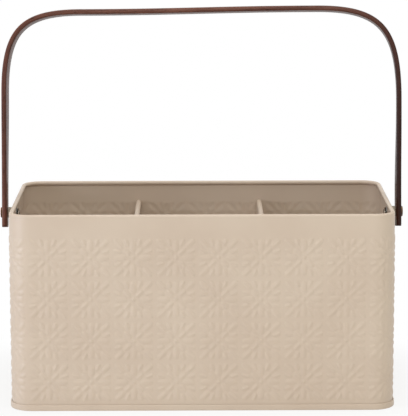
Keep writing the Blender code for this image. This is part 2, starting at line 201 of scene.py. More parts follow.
# Textures: noise scales per metre with their detail, (low, high) levels of a mask or of a roughness, and
# depths of the fine relief
CLOUD_SCALE, CLOUD_DETAIL, CLOUD_LEVELS = 14, 3, (0.35, 0.7)
SHEEN_SCALE, SHEEN_DETAIL, SHEEN_LEVELS = 90, 3, (0.3, 0.7)
PEEL_SCALE, PEEL_DETAIL, PEEL_DEPTH = 1100, 2, 0.00002
STREAK_SCALE, STREAK_DETAIL, STREAK_LEVELS = 160, 4, (0.3, 0.7)
FIBRE_SCALE, FIBRE_DETAIL, FIBRE_LEVELS = 900, 3, (0.35, 0.65)
PORE_SCALE, PORE_DETAIL, PORE_LEVELS = 2200, 1, (0.60, 0.72)
GRAIN_STRETCH_SHARE = 0.05
GRAIN_DEPTH = 0.00003
DULL_SCALE, DULL_DETAIL, DULL_LEVELS = 420, 4, (0.35, 0.7)
PLATING_SCALE, PLATING_DETAIL, PLATING_DEPTH = 3000, 2, 0.00001
BUMP_STRENGTH = 0.5
PAINT_ROUGHNESS = (0.40, 0.48)
WOOD_ROUGHNESS = (0.34, 0.44)
METAL_ROUGHNESS = (0.16, 0.36)
PAINT_SPECULAR = 0.4
PAINT_COAT = 0.05
WOOD_SPECULAR = 0.15
WOOD_COAT = 0.02
COAT_ROUGHNESS = 0.3

# Painted shade on the lath: the lengths along it between which its colours turn from the left leg's stain
# to the right leg's near-black painted shade
PAINTED_SHADE_TURN = (0.38, 0.62)
RIGHT_PAINTED_SHADE_SHARE = 0.95
FIBRE_SHARE = 0.35

# Studio: (name, place, target, size, watts, tint) of each lamp, and the light from all round
LAMPS = (
    ("key_left", (-1.18, -0.70, 0.24), (-0.10, -0.08, 0.08), 0.5, 5.2, (0.94, 1, 1.20)),
    ("fill_right", (0.44, -0.38, 0.14), (0.13, -0.08, 0.08), 0.15, 0.1, (1, 0.97, 0.86)),
    ("front", (0, -1.40, 1.00), (0, 0, 0.1), 0.6, 4.6, (1, 1, 0.93)),
    ("top", (0.05, 0, 1.50), (0, 0, 0.1), 1.0, 8.5, (1, 1, 0.98)),
)
AMBIENT_STRENGTH = 0.55

# Floor: its reach from the caddy, how far the caddy's shadow shows, and how much white is laid over it
# right beside the caddy
FLOOR_REACH = 3
SHADOW_REACH = 0.09
SHADOW_WHITE = 0.8

# Shared
CLEARANCE = 0.0003
OVERRUN = 0.002
MERGE_DISTANCE = 0.00001
SHARP_ANGLE = math.radians(60)

# Worked out from the sizes above
HALF_FRONT = BODY_WIDTH / 2 - CORNER_RADIUS
HALF_SIDE = BODY_DEPTH / 2 - CORNER_RADIUS
CORNER_ARC = math.radians(90) * CORNER_RADIUS
PERIMETER = 4 * (HALF_FRONT + HALF_SIDE + CORNER_ARC)
CELL = PERIMETER / LATTICE_COLUMNS
LATTICE_HIGH = LATTICE_LOW + LATTICE_ROWS * CELL
FLOOR_TOP = PANEL_HEIGHT + PAN_SHEET / 2
DIVIDER_REACH = BODY_DEPTH / 2 - WALL_SHEET - CLEARANCE
HEAD_SEAT = CLEARANCE + SPACER_LENGTH + CLEARANCE + STRIP_THICKNESS + CLEARANCE
WASHER_SEAT = WALL_SHEET + CLEARANCE
NUT_SEAT = WASHER_SEAT + WASHER_THICKNESS + CLEARANCE
SHANK_END = NUT_SEAT + NUT_THICKNESS + SHANK_TAIL


def linear(level):
    """One 8 bit colour level as a linear value."""
    share = level / 255
    if share <= 0.04045:
        return share / 12.92
    return ((share + 0.055) / 1.055) ** 2.4


def colour(levels):
    return (*map(linear, levels), 1)


# Making of the pieces


def add_piece(name, bm, body, stands_for, material):
    """Closes a mesh into a named piece that rides on its body and stands for a node of the CAD model."""
    bmesh.ops.remove_doubles(bm, verts=bm.verts, dist=MERGE_DISTANCE)
    bmesh.ops.recalc_face_normals(bm, faces=bm.faces)
    mesh = bpy.data.meshes.new(name)
    bm.to_mesh(mesh)
    bm.free()
    piece = bpy.data.objects.new(name, mesh)
    bpy.context.scene.collection.objects.link(piece)
    mesh.materials.append(material)
    mesh.shade_smooth()
    mesh.set_sharp_from_angle(angle=SHARP_ANGLE)
    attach(piece, body)
    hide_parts(stands_for)
    return piece


def settle(piece):
    """Turns a piece's modifiers into its mesh."""
    evaluated = piece.evaluated_get(bpy.context.evaluated_depsgraph_get())
    mesh = bpy.data.meshes.new_from_object(evaluated)
    piece.modifiers.clear()
    piece.data = mesh
    mesh.shade_smooth()
    mesh.set_sharp_from_angle(angle=SHARP_ANGLE)


def work(piece, tool, operation):
    """Cuts a piece with a tool, or keeps only what lies within the tool."""
    mesh = bpy.data.meshes.new("tool")
    tool.to_mesh(mesh)
    tool.free()
    shape = bpy.data.objects.new("tool", mesh)
    bpy.context.scene.collection.objects.link(shape)
    boolean = piece.modifiers.new("Tool", "BOOLEAN")
    boolean.operation = operation
    boolean.solver = "EXACT"
    boolean.object = shape
    settle(piece)
    bpy.data.objects.remove(shape)


def thicken(piece, sheet, even=True):
    """Gives a bent surface the thickness of its sheet, half of it to each side."""
    solidify = piece.modifiers.new("Sheet", "SOLIDIFY")
    solidify.thickness = sheet
    solidify.offset = 0
    solidify.use_even_offset = even
    settle(piece)


def follow(start, heading, moves):
    """Points along a bent sheet's middle line. A move is a length or a (radius, turn, steps) bend."""
    points = [Vector(start)]
    for move in moves:
        if isinstance(move, tuple):
            radius, turn, steps = move
            side = math.copysign(1, turn)
            centre = points[-1] + side * radius * Vector((-math.sin(heading), math.cos(heading)))
            for step in range(1, steps + 1):
                angle = heading + turn * step / steps
                points.append(centre + side * radius * Vector((math.sin(angle), -math.cos(angle))))
            heading += turn
        else:
            points.append(points[-1] + move * Vector((math.cos(heading), math.sin(heading))))
    return points


def chain(bm, corners):
    verts = [bm.verts.new(corner) for corner in corners]
    return [bm.edges.new(pair) for pair in zip(verts, verts[1:])]


def ring(bm, corners):
    verts = [bm.verts.new(corner) for corner in corners]
    return [bm.edges.new(pair) for pair in zip(verts, verts[1:] + verts[:1])]


def grow(bm, edges, step):
    """Extends a sheet by one strip along its edges, and returns the new outer edges."""
    grown = bmesh.ops.extrude_edge_only(bm, edges=edges)["geom"]
    moved = {item for item in grown if isinstance(item, bmesh.types.BMVert)}
    bmesh.ops.translate(bm, verts=list(moved), vec=step)
    grown_edges = [item for item in grown if isinstance(item, bmesh.types.BMEdge)]
    return [edge for edge in grown_edges if all(vert in moved for vert in edge.verts)]


# Pressed walls


def petals():
    """Every petal of one sunburst: (angle, middle radius, half length, half width)."""
    found = []
    for first, count, inner, outer, half_width in PETAL_RINGS:
        for number in range(count):
            angle = first + math.radians(360) * number / count
            found.append((angle, (inner + outer) / 2, (outer - inner) / 2, half_width))
    return found


PETALS = petals()


def petal_reach(across, up, margin):
    """0 on the crest line of the nearest petal or on the middle dot, 1 at its foot."""
    nearest = (math.hypot(across, up) / (DOT_RADIUS + margin)) ** 2
    for angle, middle, half_length, half_width in PETALS:
        radial = across * math.cos(angle) + up * math.sin(angle) - middle
        aside = up * math.cos(angle) - across * math.sin(angle)
        along_share = abs(radial) / (half_length + margin)
        reach = along_share ** PETAL_FULLNESS + (aside / (half_width + margin)) ** 2
        nearest = min(nearest, reach)
    return nearest


def sunburst_cell(cuts):
    """A flat-edged square of the sheet, across and up from its middle, with one sunburst raised on it."""
    bm = bmesh.new()
    bmesh.ops.create_grid(bm, x_segments=CELL_FACES, y_segments=CELL_FACES, size=CELL / 2)
    reach = CELL / CELL_FACES / 2 + PETAL_MARGIN
    pressed = [face for face in bm.faces
               if petal_reach(*face.calc_center_median().xy, reach) < 1]
    edges = {edge for face in pressed for edge in face.edges if not edge.is_boundary}
    bmesh.ops.subdivide_edges(bm, edges=list(edges), cuts=cuts, use_grid_fill=True)
    for vert in bm.verts:
        share = petal_reach(*vert.co.xy, 0)
        if share < 1:
            vert.co.z = PETAL_HEIGHT * (1 - share) ** DOME_FULLNESS
    cell = bpy.data.meshes.new("sunburst_cell")
    bm.to_mesh(cell)
    bm.free()
    return cell


def rim_points(out, radius):
    """(up, out) of one face of the sheet, from the lattice to the end of the rolled rim."""
    centre = Vector((BODY_HEIGHT - RIM_BEAD / 2, -RIM_BEAD / 2))
    points = [Vector((LATTICE_HIGH, out))]
    for step in range(RIM_STEPS + 1):
        angle = RIM_CURL * step / RIM_STEPS
        points.append(centre + radius * Vector((math.sin(angle), math.cos(angle))))
    return points


def sheet_face(cell, columns, out, curl_radius):
    """One face of the flat sheet: the rolled rim and the foot, and the cells laid between them."""
    bm = bmesh.new()
    start = LATTICE_SHIFT + columns[0] * CELL
    faces = len(columns) * CELL_FACES
    alongs = [start + CELL * number / CELL_FACES for number in range(faces + 1)]
    edges = chain(bm, [(along, LATTICE_HIGH, out) for along in alongs])
    rim = rim_points(out, curl_radius)
    for low, high in zip(rim, rim[1:]):
        edges = grow(bm, edges, (0, *(high - low)))
    foot = chain(bm, [(along, LATTICE_LOW, out) for along in alongs])
    grow(bm, foot, (0, WALL_FOOT - LATTICE_LOW, 0))
    for number in range(len(columns)):
        for row in range(LATTICE_ROWS):
            laid = cell.copy()
            place = (start + (number + 0.5) * CELL, LATTICE_LOW + (row + 0.5) * CELL, out)
            laid.transform(Matrix.Translation(place))
            bm.from_mesh(laid)
            bpy.data.meshes.remove(laid)
    bmesh.ops.remove_doubles(bm, verts=bm.verts, dist=MERGE_DISTANCE)
    face = bpy.data.meshes.new("sheet_face")
    bm.to_mesh(face)
    bm.free()
    return face


@functools.cache
def wall_station(along):
    """The point of the wall's outer face at a length along the flat sheet, and the way out from it."""
    rest = (along + HALF_FRONT) % PERIMETER
    centre = Vector((-HALF_FRONT, -HALF_SIDE))
    facing = math.radians(-90)
    for run in (2 * HALF_FRONT, 2 * HALF_SIDE, 2 * HALF_FRONT, 2 * HALF_SIDE):
        outwards = Vector((math.cos(facing), math.sin(facing)))
        onwards = Vector((-outwards.y, outwards.x))
        if rest <= run:
            centre += onwards * rest
            break
        rest -= run
        centre += onwards * run
        if rest <= CORNER_ARC:
            angle = facing + rest / CORNER_RADIUS
            outwards = Vector((math.cos(angle), math.sin(angle)))
            break
        rest -= CORNER_ARC
        facing += math.radians(90)
    return centre + outwards * CORNER_RADIUS, outwards


def pressed_wall(name, columns, outer_cell, inner_cell, material):
    """A stretch of the wall: the finely pressed outer face, its reverse inside, and the sheet's edges."""
    bm = bmesh.new()
    bm.from_mesh(sheet_face(outer_cell, columns, 0, RIM_BEAD / 2))
    bm.from_mesh(sheet_face(inner_cell, columns, -WALL_SHEET, RIM_BEAD / 2 - WALL_SHEET))
    bmesh.ops.bridge_loops(bm, edges=[edge for edge in bm.edges if edge.is_boundary])
    for vert in bm.verts:
        along, up, out = vert.co
        place, outwards = wall_station(round(along, 6))
        vert.co = (*(place + outwards * out), up)
    add_piece(name, bm, "caddy", "body_wall", material)


def closing_lap(material):
    """The wall's end, lapped over its beginning at the back and pressed flat."""
    bm = bmesh.new()
    bmesh.ops.create_cube(bm, size=1)
    depth = LAP_PROUD + WALL_SHEET / 2
    bmesh.ops.scale(bm, verts=bm.verts, vec=(LAP_WIDTH, depth, LAP_HIGH - LAP_LOW))
    middle = (0, BODY_DEPTH / 2 + LAP_PROUD - depth / 2, (LAP_LOW + LAP_HIGH) / 2)
    bmesh.ops.translate(bm, verts=bm.verts, vec=middle)
    outer = [edge for edge in bm.edges if all(vert.co.y > BODY_DEPTH / 2 for vert in edge.verts)]
    bmesh.ops.bevel(bm, geom=outer, offset=LAP_EDGE, segments=LAP_EDGE_STEPS, profile=0.5,
                    affect="EDGES", material=-1)
    add_piece("closing_lap", bm, "caddy", "body_wall", material)


# Base pan and dividers


def rolled_round(profile):
    """Carries an (out, up) profile round the box, along each wall and round each corner."""
    bm = bmesh.new()
    edges = chain(bm, [(-HALF_FRONT, -BODY_DEPTH / 2 - out, up) for out, up in profile])
    walls = (
        ((2 * HALF_FRONT, 0, 0), (HALF_FRONT, -HALF_SIDE, 0)),
        ((0, 2 * HALF_SIDE, 0), (HALF_FRONT, HALF_SIDE, 0)),
        ((-2 * HALF_FRONT, 0, 0), (-HALF_FRONT, HALF_SIDE, 0)),
        ((0, -2 * HALF_SIDE, 0), (-HALF_FRONT, -HALF_SIDE, 0)),
    )
    for run, corner in walls:
        edges = grow(bm, edges, run)
        verts = list({vert for edge in edges for vert in edge.verts})
        spun = bmesh.ops.spin(
            bm, geom=edges + verts, cent=corner, axis=(0, 0, 1),
            angle=math.radians(90), steps=CORNER_STEPS, use_duplicate=False,
        )
        edges = [item for item in spun["geom_last"] if isinstance(item, bmesh.types.BMEdge)]
    bmesh.ops.remove_doubles(bm, verts=bm.verts, dist=MERGE_DISTANCE)
    return bm


def pan_profile():
    """The base pan from the lip of its seam, round the wall's foot, and up inside the wall to the floor."""
    lip_up = SEAM_HEIGHT - PAN_SHEET / 2
    outer = SEAM_PROUD - PAN_SHEET / 2
    inner = -(WALL_SHEET + CLEARANCE + PAN_SHEET / 2)
    down_turn = (SEAM_BEND, math.radians(-90), BEND_STEPS)
    return follow((CLEARANCE, lip_up), 0, [
        outer - SEAM_BEND - CLEARANCE,
        down_turn,
        lip_up - PAN_SHEET / 2 - 2 * SEAM_BEND,
        down_turn,
        outer - inner - 2 * SEAM_BEND,
        down_turn,
        PANEL_HEIGHT - PAN_SHEET / 2 - 2 * SEAM_BEND,
        (SEAM_BEND, math.radians(90), BEND_STEPS),
    ])


def base_pan(material):
    """The floor, whose edge drops inside the wall and rolls up round the wall's foot."""
    bm = rolled_round(pan_profile())
    floor_edge = [edge for edge in bm.edges if edge.is_boundary
                  and all(abs(vert.co.z - PANEL_HEIGHT) < MERGE_DISTANCE for vert in edge.verts)]
    bmesh.ops.edgeloop_fill(bm, edges=floor_edge)
    pan = add_piece("rolled_base", bm, "caddy", "base_pan", material)
    thicken(pan, PAN_SHEET)


def divider_profile():
    """A divider seen from the front, from its foot flange up to the end of its rolled top."""
    foot_up = FLOOR_TOP + CLEARANCE + DIVIDER_SHEET / 2
    curl_radius = (DIVIDER_BEAD - DIVIDER_SHEET) / 2
    curl_centre = DIVIDER_TOP - DIVIDER_BEAD / 2
    start = (FLANGE_WIDTH - curl_radius, foot_up)
    return follow(start, math.radians(180), [
        FLANGE_WIDTH - FLANGE_BEND,
        (FLANGE_BEND, math.radians(-90), BEND_STEPS),
        curl_centre - foot_up - FLANGE_BEND,
        (curl_radius, -DIVIDER_CURL, DIVIDER_STEPS),
    ])


def divider_stations():
    """(along the depth, drop of the rolled top) from the front end to the back end."""
    reach = DIVIDER_REACH - DIVIDER_SHEET / 2
    front = []
    for step in range(BEAD_END_STEPS + 1):
        angle = math.radians(90) * step / BEAD_END_STEPS
        inset = BEAD_END_ROUND * (1 - math.cos(angle))
        front.append((inset - reach, BEAD_END_ROUND * (1 - math.sin(angle))))
    return front + [(-along, drop) for along, drop in reversed(front)]


def rolled_divider(side, node, across, material):
    """A sheet with a rolled top and a foot flange, and a flange against the front and back walls."""
    bm = bmesh.new()
    profile = divider_profile()
    top_start = DIVIDER_TOP - DIVIDER_BEAD
    rows = []
    for along, drop in divider_stations():
        rows.append([(across + x, along, z - drop if z > top_start else z) for x, z in profile])
    edges = chain(bm, rows[0])
    for row in rows[1:]:
        next_edges = chain(bm, row)
        bmesh.ops.bridge_loops(bm, edges=edges + next_edges)
        edges = next_edges
    sheet = add_piece(f"rolled_divider_{side}", bm, "caddy", node, material)
    thicken(sheet, DIVIDER_SHEET, even=False)
    web_middle = across + (DIVIDER_SHEET - DIVIDER_BEAD) / 2
    for end, facing in (("front", -1), ("back", 1)):
        flange = bmesh.new()
        reach = DIVIDER_REACH - DIVIDER_SHEET / 2
        moves = [(FLANGE_BEND, facing * math.radians(-90), BEND_STEPS), FLANGE_WIDTH - FLANGE_BEND]
        line = follow((web_middle, facing * (reach - FLANGE_BEND)), facing * math.radians(90), moves)
        low = FLOOR_TOP + CLEARANCE + FLANGE_RELIEF
        high = DIVIDER_TOP - DIVIDER_BEAD - BEAD_END_ROUND - FLANGE_RELIEF
        grow(flange, chain(flange, [(*point, low) for point in line]), (0, 0, high - low))
        tab = add_piece(f"divider_flange_{side}_{end}", flange, "caddy", node, material)
        thicken(tab, DIVIDER_SHEET)


# Handle


def handle_spans():
    """The curves of the handle's outer face, seen from the front, from the left leg to the right one."""
    left_leg = Vector((-LEG_REACH, LEG_FLAT))
    left_bend = Vector((-LEG_REACH - LEFT_SPREAD, LEFT_BEND_START))
    left_bar = Vector((-LEG_REACH + LEFT_BEND_REACH, LEFT_BAR_HEIGHT))
    right_bar = Vector((LEG_REACH - RIGHT_BEND_REACH, RIGHT_BAR_HEIGHT))
    right_bend = Vector((LEG_REACH + RIGHT_SPREAD, RIGHT_BEND_START))
    right_leg = Vector((LEG_REACH, LEG_FLAT))
    up = Vector((0, 1))
    across = Vector((1, 0))
    return (
        (left_leg, up, left_bend, up, LEG_FULLNESS_SHARE, LEG_STEPS, 0, -LEG_TWIST),
        (left_bend, up, left_bar, across, BEND_FULLNESS_SHARE, CORNER_BEND_STEPS, -LEG_TWIST, 0),
        (left_bar, across, right_bar, across, LEG_FULLNESS_SHARE, BAR_STEPS, 0, 0),
        (right_bar, across, right_bend, -up, BEND_FULLNESS_SHARE, CORNER_BEND_STEPS, 0, LEG_TWIST),
        (right_bend, -up, right_leg, -up, LEG_FULLNESS_SHARE, LEG_STEPS, LEG_TWIST, 0),
    )


def handle_stations():
    """(point on the outer face, half of the width, twist) along the strip, from foot to foot."""
    foot = []
    for step in range(FOOT_STEPS + 1):
        angle = math.radians(90) * step / FOOT_STEPS
        inset = FOOT_ROUND * (1 - math.cos(angle))
        half_width = STRIP_WIDTH / 2 - FOOT_ROUND * (1 - math.sin(angle))
        foot.append((inset - FOOT_DROP, half_width))
    stations = [(Vector((-LEG_REACH, up)), half_width, 0) for up, half_width in foot]
    for start, leaving, end, arriving, fullness, steps, twist, last_twist in handle_spans():
        span = end - start
        first_handle = start + leaving * fullness * abs(span.dot(leaving))
        last_handle = end - arriving * fullness * abs(span.dot(arriving))
        points = interpolate_bezier(start, first_handle, last_handle, end, steps + 1)
        for step, point in enumerate(points[:-1]):
            share = step / steps
            eased = share * share * (3 - 2 * share)
            stations.append((Vector(point[:2]), STRIP_WIDTH / 2, twist + (last_twist - twist) * eased))
    stations.append((Vector((LEG_REACH, LEG_FLAT)), STRIP_WIDTH / 2, 0))
    stations += [(Vector((LEG_REACH, up)), half_width, 0) for up, half_width in reversed(foot)]
    return stations


def strip_section(half_width):
    """A rounded rectangle: (to the back, outwards) from the middle of the strip."""
    half_thickness = STRIP_THICKNESS / 2
    corners = (
        (half_width - STRIP_EDGE_ROUND, half_thickness - STRIP_EDGE_ROUND, 0),
        (STRIP_EDGE_ROUND - half_width, half_thickness - STRIP_EDGE_ROUND, 90),
        (STRIP_EDGE_ROUND - half_width, STRIP_EDGE_ROUND - half_thickness, 180),
        (half_width - STRIP_EDGE_ROUND, STRIP_EDGE_ROUND - half_thickness, 270),
    )
    section = []
    for back, out, start in corners:
        for step in range(EDGE_STEPS + 1):
            angle = math.radians(start + 90 * step / EDGE_STEPS)
            rounded = STRIP_EDGE_ROUND * Vector((math.cos(angle), math.sin(angle)))
            section.append((back + rounded.x, out + rounded.y))
    return section


def strip_ring(stations, index):
    """The strip's section at one station, set square to the strip and turned by the twist there."""
    before = stations[max(index - 1, 0)][0]
    after = stations[min(index + 1, len(stations) - 1)][0]
    point, half_width, twist = stations[index]
    along = (after - before).normalized()
    tangent = Vector((along.x, 0, along.y))
    outwards = Vector((-along.y, 0, along.x))
    backwards = Vector((0, 1, 0))
    turned_out = outwards * math.cos(twist) + tangent.cross(outwards) * math.sin(twist)
    turned_back = backwards * math.cos(twist) + tangent.cross(backwards) * math.sin(twist)
    middle = Vector((point.x, 0, point.y)) - outwards * STRIP_THICKNESS / 2
    return [middle + turned_back * back + turned_out * out for back, out in strip_section(half_width)]


def bent_handle(material):
    """The wooden lath, with its grain's own coordinates: along the lath, across it and through it."""
    bm = bmesh.new()
    grain = bm.verts.layers.float_vector.new("grain")
    stations = handle_stations()
    loops = []
    along = 0
    for index, (point, half_width, _) in enumerate(stations):
        if index:
            along += (point - stations[index - 1][0]).length
        loop = ring(bm, strip_ring(stations, index))
        verts = [edge.verts[0] for edge in loop]
        for vert, (back, out) in zip(verts, strip_section(half_width)):
            vert[grain] = (along, back, out)
        loops.append(loop)
    for near, far in zip(loops, loops[1:]):
        bmesh.ops.bridge_loops(bm, edges=near + far)
    for loop in (loops[0], loops[-1]):
        bmesh.ops.edgeloop_fill(bm, edges=loop)
    lean = Matrix.Translation((0, 0, PIVOT_HEIGHT)) @ Matrix.Rotation(-HANDLE_LEAN, 4, "X")
    bmesh.ops.transform(bm, matrix=lean, verts=bm.verts)
    lath = add_piece("bentwood_lath", bm, "handle", "handle_strip", material)
    drill = bmesh.new()
    turn = Matrix.Translation((0, 0, PIVOT_HEIGHT)) @ Matrix.Rotation(math.radians(90), 4, "Y")
    bmesh.ops.create_cone(drill, cap_ends=True, segments=BORE_STEPS, radius1=BORE_RADIUS,
                          radius2=BORE_RADIUS, depth=2 * BODY_WIDTH, matrix=turn)
    work(lath, drill, "DIFFERENCE")


# Pivot hardware


def turned(profile):
    """A turned shape: a profile of (radius, along) points carried round its own Z axis."""
    bm = bmesh.new()
    edges = chain(bm, [(radius, 0, along) for radius, along in profile])
    verts = list({vert for edge in edges for vert in edge.verts})
    bmesh.ops.spin(bm, geom=edges + verts, cent=(0, 0, 0), axis=(0, 0, 1), angle=math.radians(360),
                   steps=TURNED_STEPS, use_merge=True, use_duplicate=False)
    bmesh.ops.remove_doubles(bm, verts=bm.verts, dist=MERGE_DISTANCE)
    bmesh.ops.recalc_face_normals(bm, faces=bm.faces)
    return bm


def tube_profile(outer_radius, low, high, chamfer):
    """A closed tube section, down its outer side and up its bore."""
    return [
        (BORE_RADIUS, high),
        (outer_radius - chamfer, high),
        (outer_radius, high - chamfer),
        (outer_radius, low + chamfer),
        (outer_radius - chamfer, low),
        (BORE_RADIUS, low),
        (BORE_RADIUS, high),
    ]


def corner_reach(painted_dark_flats):
    """The distance from a hexagon's middle to its corners."""
    return painted_dark_flats / 2 / math.cos(math.radians(30))


def hexagon(painted_dark_flats, low, high):
    bm = bmesh.new()
    radius = corner_reach(painted_dark_flats)
    bmesh.ops.create_cone(bm, cap_ends=True, segments=6, radius1=radius, radius2=radius, depth=high - low)
    bmesh.ops.translate(bm, verts=bm.verts, vec=(0, 0, (low + high) / 2))
    return bm


def at_pivot(bm, side):
    """Stands a shape on the side wall's outer face at the pivot axis, with its own Z axis outwards."""
    turn = Matrix.Rotation(side * math.radians(90), 4, "Y")
    place = Matrix.Translation((side * BODY_WIDTH / 2, 0, PIVOT_HEIGHT)) @ turn
    bmesh.ops.transform(bm, matrix=place, verts=bm.verts)
    return bm


def pivot_screw(suffix, side, material):
    """A low round head with a hexagon socket, and a threaded shank that reaches through to the nut."""
    head = HEAD_DIAMETER / 2
    shank = SHANK_DIAMETER / 2
    top = HEAD_SEAT + HEAD_HEIGHT
    profile = [(0, top)]
    for step in range(BEND_STEPS + 1):
        angle = math.radians(90) * (1 - step / BEND_STEPS)
        inset = HEAD_EDGE_ROUND * (1 - math.cos(angle))
        drop = HEAD_EDGE_ROUND * (1 - math.sin(angle))
        profile.append((head - inset, top - drop))
    profile += [(head, HEAD_SEAT), (shank, HEAD_SEAT)]
    ridge = CLEARANCE
    while ridge - THREAD_PITCH > SHANK_TIP_CHAMFER - SHANK_END:
        profile += [(shank, ridge), (shank - THREAD_DEPTH, ridge - THREAD_PITCH / 2)]
        ridge -= THREAD_PITCH
    profile += [
        (shank, ridge),
        (shank - SHANK_TIP_CHAMFER, -SHANK_END),
        (0, -SHANK_END),
    ]
    name = f"socket_screw_{suffix}"
    node = f"pivot_screw_{suffix}"
    screw = add_piece(name, at_pivot(turned(profile), side), "caddy", node, material)
    work(screw, at_pivot(hexagon(SOCKET_FLATS, top - SOCKET_DEPTH, top + OVERRUN), side), "DIFFERENCE")


def pivot_nut(suffix, side, material):
    """A thin hexagon nut inside the box, its corners turned off on both faces."""
    low = -NUT_SEAT - NUT_THICKNESS
    blank = at_pivot(hexagon(NUT_FLATS, low, -NUT_SEAT), side)
    node = f"pivot_nut_{suffix}"
    nut = add_piece(f"thin_nut_{suffix}", blank, "caddy", node, material)
    corner = corner_reach(NUT_FLATS) + MERGE_DISTANCE
    face = NUT_FLATS / 2 - NUT_CHAMFER / 2
    envelope = [
        (0, -NUT_SEAT),
        (face, -NUT_SEAT),
        (corner, -NUT_SEAT - NUT_CHAMFER),
        (corner, low + NUT_CHAMFER),
        (face, low),
        (0, low),
    ]
    work(nut, at_pivot(turned(envelope), side), "INTERSECT")
    bore = [(0, OVERRUN), (BORE_RADIUS, OVERRUN), (BORE_RADIUS, low - OVERRUN), (0, low - OVERRUN)]
    work(nut, at_pivot(turned(bore), side), "DIFFERENCE")


def pivot_set(suffix, side, finishes):
    """What carries one leg of the handle: spacer, screw, washer and nut."""
    spacer = tube_profile(SPACER_DIAMETER / 2, CLEARANCE, CLEARANCE + SPACER_LENGTH, SPACER_CHAMFER)
    add_piece(f"round_spacer_{suffix}", at_pivot(turned(spacer), side), "caddy",
              f"spacer_{suffix}", finishes["spacer"])
    washer_low = -WASHER_SEAT - WASHER_THICKNESS
    washer = tube_profile(WASHER_DIAMETER / 2, washer_low, -WASHER_SEAT, WASHER_CHAMFER)
    add_piece(f"flat_washer_{suffix}", at_pivot(turned(washer), side), "caddy",
              f"washer_{suffix}", finishes["washer"])
    pivot_screw(suffix, side, finishes["screw"])
    pivot_nut(suffix, side, finishes["nut"])


# Materials


def new_group(name, inputs, outputs):
    """A node group whose inputs are (name, socket type, default) and whose outputs are (name, type)."""
    group = bpy.data.node_groups.new(name, "ShaderNodeTree")
    for socket_name, kind, default in inputs:
        socket = group.interface.new_socket(socket_name, in_out="INPUT", socket_type=kind)
        socket.default_value = default
    for socket_name, kind in outputs:
        group.interface.new_socket(socket_name, in_out="OUTPUT", socket_type=kind)
    return group, group.nodes.new("NodeGroupInput"), group.nodes.new("NodeGroupOutput")


def noise(tree, vector, scale, detail):
    node = tree.nodes.new("ShaderNodeTexNoise")
    node.inputs["Scale"].default_value = scale
    node.inputs["Detail"].default_value = detail
    tree.links.new(vector, node.inputs["Vector"])
    return node.outputs["Fac"]


def spread(tree, value, low, high, to_low, to_high):
    """Carries a value from one range to another, smoothly and without overshoot."""
    node = tree.nodes.new("ShaderNodeMapRange")
    node.interpolation_type = "SMOOTHSTEP"
    for name, number in (("From Min", low), ("From Max", high), ("To Min", to_low), ("To Max", to_high)):
        node.inputs[name].default_value = number
    tree.links.new(value, node.inputs["Value"])
    return node.outputs["Result"]


def mix_colour(tree, factor, first, second):
    node = tree.nodes.new("ShaderNodeMix")
    node.data_type = "RGBA"
    for value, index in ((factor, 0), (first, 6), (second, 7)):
        if hasattr(value, "is_linked"):
            tree.links.new(value, node.inputs[index])
        else:
            node.inputs[index].default_value = value
    return node.outputs[2]


def math_node(tree, operation, first, second):
    node = tree.nodes.new("ShaderNodeMath")
    node.operation = operation
    for index, value in enumerate((first, second)):
        if hasattr(value, "is_linked"):
            tree.links.new(value, node.inputs[index])
        else:
            node.inputs[index].default_value = value
    return node.outputs[0]


def object_place(tree):
    return tree.nodes.new("ShaderNodeTexCoord").outputs["Object"]


def sprayed_paint_group():
    """Satin paint: faint clouds of shade, a fine orange peel, and a sheen that changes slightly."""
    group, given, made = new_group(
        "sprayed_paint",
        [("Paint", "NodeSocketColor", (1, 1, 1, 1)), ("Shade", "NodeSocketColor", (1, 1, 1, 1))],
        [("Colour", "NodeSocketColor"), ("Roughness", "NodeSocketFloat"), ("Height", "NodeSocketFloat")],
    )
    place = object_place(group)
    clouds = spread(group, noise(group, place, CLOUD_SCALE, CLOUD_DETAIL), *CLOUD_LEVELS, 0, 1)
    colour_out = mix_colour(group, clouds, given.outputs["Paint"], given.outputs["Shade"])
    group.links.new(colour_out, made.inputs["Colour"])
    sheen = noise(group, place, SHEEN_SCALE, SHEEN_DETAIL)
    group.links.new(spread(group, sheen, *SHEEN_LEVELS, *PAINT_ROUGHNESS), made.inputs["Roughness"])
    group.links.new(noise(group, place, PEEL_SCALE, PEEL_DETAIL), made.inputs["Height"])
    return group


def new_material(name):
    material = bpy.data.materials.new(name)
    material.use_nodes = True
    return material, material.node_tree, material.node_tree.nodes["Principled BSDF"]


def add_bump(tree, shader, height, distance):
    bump = tree.nodes.new("ShaderNodeBump")
    bump.inputs["Distance"].default_value = distance
    bump.inputs["Strength"].default_value = BUMP_STRENGTH
    tree.links.new(height, bump.inputs["Height"])
    tree.links.new(bump.outputs["Normal"], shader.inputs["Normal"])


def finished(name, group, colours, depth):
    """A material whose colour, roughness and fine relief come from a shared group's two colours."""
    material, tree, shader = new_material(name)
    finish = tree.nodes.new("ShaderNodeGroup")
    finish.node_tree = group
    for socket, levels in zip(finish.inputs, colours):
        socket.default_value = colour(levels)
    tree.links.new(finish.outputs["Colour"], shader.inputs["Base Color"])
    tree.links.new(finish.outputs["Roughness"], shader.inputs["Roughness"])
    add_bump(tree, shader, finish.outputs["Height"], depth)
    return material, shader


def painted(name, group, paint, shade):
    material, shader = finished(name, group, (paint, shade), PEEL_DEPTH)
    shader.inputs["Specular IOR Level"].default_value = PAINT_SPECULAR
    shader.inputs["Coat Weight"].default_value = PAINT_COAT
    shader.inputs["Coat Roughness"].default_value = COAT_ROUGHNESS
    return material


